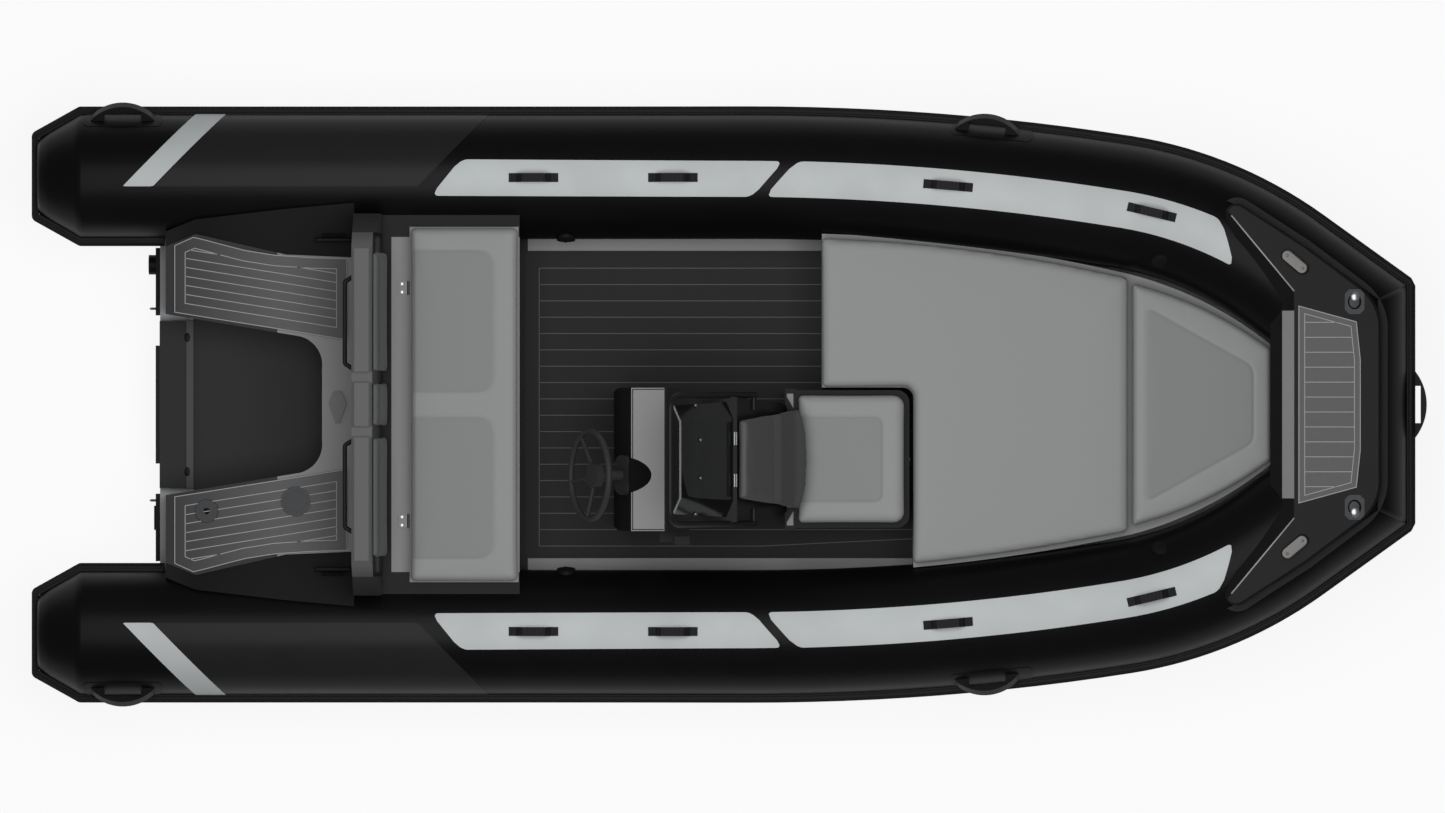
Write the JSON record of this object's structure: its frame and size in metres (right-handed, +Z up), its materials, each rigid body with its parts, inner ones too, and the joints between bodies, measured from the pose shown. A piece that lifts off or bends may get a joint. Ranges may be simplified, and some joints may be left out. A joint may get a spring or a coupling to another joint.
{
  "type": "rigid inflatable boat",
  "caption": "Open rigid inflatable boat: vee hull with inflated side tubes, helm console, rear bench with locker lid, sun pad, bow step and engine well.",
  "frame": {"origin": "amidships on the centreline at the waterline", "axes": "+X to the bow, +Y to port, +Z up"},
  "size_m": [5.6468, 2.4456, 1.6625],
  "materials": {
    "tube_fabric": "matte coated fabric",
    "strake_rubber": "satin extruded rubber",
    "hull_coating": "satin powder coat",
    "gelcoat_grey": "gloss moulded laminate",
    "gelcoat_black": "gloss moulded laminate",
    "deck_foam": "brushed closed-cell foam",
    "stern_foam": "brushed closed-cell foam",
    "cushion_vinyl": "embossed marine vinyl",
    "dark_vinyl": "embossed marine vinyl",
    "stainless": "polished",
    "black_plastic": "fine moulded grain",
    "black_tube": "satin powder coat",
    "smoked_acrylic": "polished tinted sheet",
    "webbing": "woven"
  },
  "bodies": {
    "root": {"hull": "hull_coating", "engine_pad": "black_plastic", "deck": "gelcoat_grey", "stern_platform": "gelcoat_grey", "stern_wings": "gelcoat_black", "engine_well": "gelcoat_black", "transom": "gelcoat_black", "stern_pads": "stern_foam", "pole_socket": "stainless", "fuel_filler": "stainless", "tow_fitting": "gelcoat_grey", "transom_eyes": "stainless", "deck_drain": "black_plastic", "sounder_bracket": "black_plastic", "stern_bumpers": "black_plastic", "bulkhead": "gelcoat_grey", "bench_backrest": "dark_vinyl", "bulkhead_handles": "black_tube", "bench_base": "gelcoat_grey", "bench_hinges": "stainless", "bow_base": "gelcoat_grey", "sun_pad": "cushion_vinyl", "bow_cushion": "cushion_vinyl", "bow_step": "gelcoat_black", "bow_step_pad": "stern_foam", "bow_cleats": "stainless", "nav_lights": "stainless", "stern_cleats": "black_plastic", "console": "gelcoat_grey", "helm_boss": "black_plastic", "windscreen": "smoked_acrylic", "windscreen_rail": "black_tube", "hatch_hinges": "stainless", "front_seat_base": "gelcoat_black", "front_seat_cushion": "cushion_vinyl", "engine_control": "black_plastic", "deck_pad": "deck_foam", "tube_port": "tube_fabric", "tube_starboard": "tube_fabric", "tube_bow": "tube_fabric", "rub_strake_port": "strake_rubber", "rub_strake_starboard": "strake_rubber", "rub_strake_bow": "strake_rubber", "tube_straps_port": "webbing", "tube_straps_starboard": "webbing", "bow_handle": "strake_rubber", "carry_handles": "strake_rubber", "air_valves": "black_plastic"},
    "helm": {"steering_wheel": "black_plastic"},
    "bench_top": {"bench_lid": "gelcoat_grey", "bench_cushion": "cushion_vinyl"},
    "hatch": {"backrest_hatch": "dark_vinyl"}
  },
  "joints": [
    {"name": "steering", "type": "hinge", "parent": "root", "child": "helm", "pos_m": [-0.529, -0.283, 0.941], "axis": [-0.8988, 0, 0.4384], "range_deg": [-720, 720]},
    {"name": "bench_lid_hinge", "type": "hinge", "parent": "root", "child": "bench_top", "pos_m": [-1.268, 0, 0.5055], "axis": [0, -1, 0], "range_deg": [0, 72]},
    {"name": "hatch_hinge", "type": "hinge", "parent": "root", "child": "hatch", "pos_m": [0.058, -0.22, 0.991], "axis": [0, -1, 0], "range_deg": [0, 80]}
  ]
}
